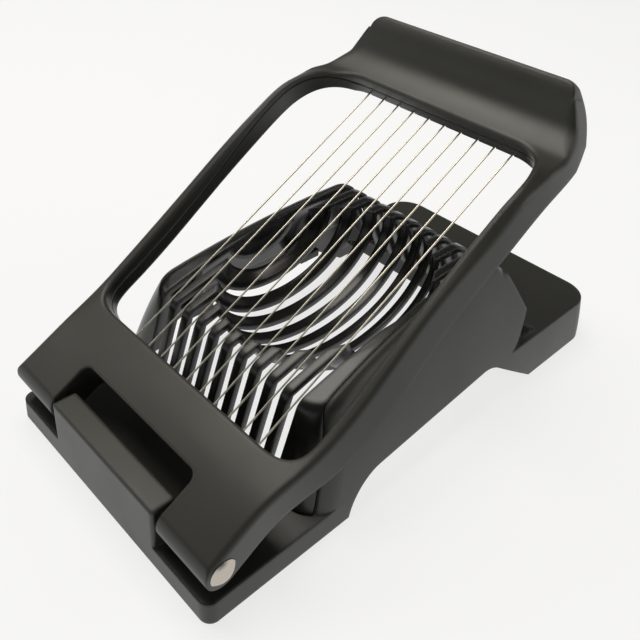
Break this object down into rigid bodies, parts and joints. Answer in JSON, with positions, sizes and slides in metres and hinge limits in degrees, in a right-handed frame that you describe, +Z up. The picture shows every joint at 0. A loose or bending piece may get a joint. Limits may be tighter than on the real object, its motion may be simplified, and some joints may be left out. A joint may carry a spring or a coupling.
{
  "type": "egg slicer",
  "caption": "Table egg slicer: arched hollow base with a ribbed egg cradle and a hinged frame of stretched wires with a lipped handle, lowered through the cradle's slots.",
  "frame": {"origin": "centre of the footprint, on the resting plane under the feet", "axes": "+Z up, +X across along the hinge pin, +Y from the hinge end to the handle end"},
  "size_m": [0.1078, 0.1876, 0.1092],
  "materials": {
    "housing_plastic": "moulded charcoal black, fine satin texture",
    "cradle_plastic": "moulded black, polished mould",
    "frame_plastic": "moulded charcoal black, fine satin texture",
    "ring_plastic": "moulded black, satin",
    "wire_steel": "drawn bright stainless wire",
    "pin_steel": "headed and tumbled stainless steel",
    "screw_steel": "zinc plated steel"
  },
  "bodies": {
    "base": {"base_housing": "housing_plastic", "egg_cradle": "cradle_plastic", "cradle_screws": "screw_steel"},
    "frame": {"frame_cover": "frame_plastic", "wire_carrier": "ring_plastic", "carrier_screws": "screw_steel", "wire_01": "wire_steel", "wire_02": "wire_steel", "wire_03": "wire_steel", "wire_04": "wire_steel", "wire_05": "wire_steel", "wire_06": "wire_steel", "wire_07": "wire_steel", "wire_08": "wire_steel", "wire_09": "wire_steel", "wire_10": "wire_steel", "wire_stops_hinge_end": "pin_steel", "wire_stops_handle_end": "pin_steel", "hinge_pin": "pin_steel", "hinge_pin_cap": "pin_steel"}
  },
  "joints": [
    {"name": "frame_hinge", "type": "hinge", "parent": "base", "child": "frame", "pos_m": [0, -0.0883, 0.0176], "axis": [1, 0, 0], "range_deg": [-27.3, 61]}
  ]
}
